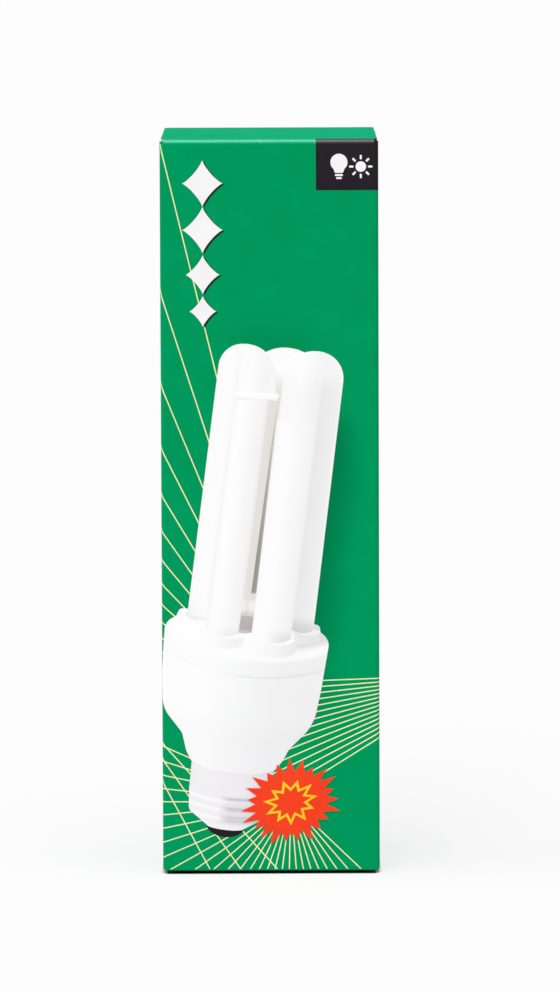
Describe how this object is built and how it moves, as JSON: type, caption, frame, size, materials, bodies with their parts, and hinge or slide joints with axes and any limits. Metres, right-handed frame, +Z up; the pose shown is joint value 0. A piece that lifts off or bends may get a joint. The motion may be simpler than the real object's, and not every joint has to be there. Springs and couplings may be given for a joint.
{
  "type": "folding lamp carton",
  "caption": "Tall square folding carton for a fluorescent lamp, green printed board, with a creased tuck lid at each end that swings open and dust flaps beneath.",
  "frame": {"origin": "centre of the base, on the surface that the carton stands on", "axes": "+Z up along the carton's height, -Y out of the printed front panel, +X to the right of someone facing the front"},
  "size_m": [0.06, 0.06, 0.2035],
  "materials": {
    "printed_board": "offset printed green, satin varnish"
  },
  "bodies": {
    "carton": {"carton_body": "printed_board"},
    "top_lid": {"top_lid": "printed_board"},
    "bottom_lid": {"bottom_lid": "printed_board"}
  },
  "joints": [
    {"name": "top_lid_hinge", "type": "hinge", "parent": "carton", "child": "top_lid", "pos_m": [0, -0.02962, 0.20312], "axis": [1, 0, 0], "range_deg": [0, 120]},
    {"name": "bottom_lid_hinge", "type": "hinge", "parent": "carton", "child": "bottom_lid", "pos_m": [0, -0.02962, 0.00038], "axis": [-1, 0, 0], "range_deg": [0, 120]}
  ]
}
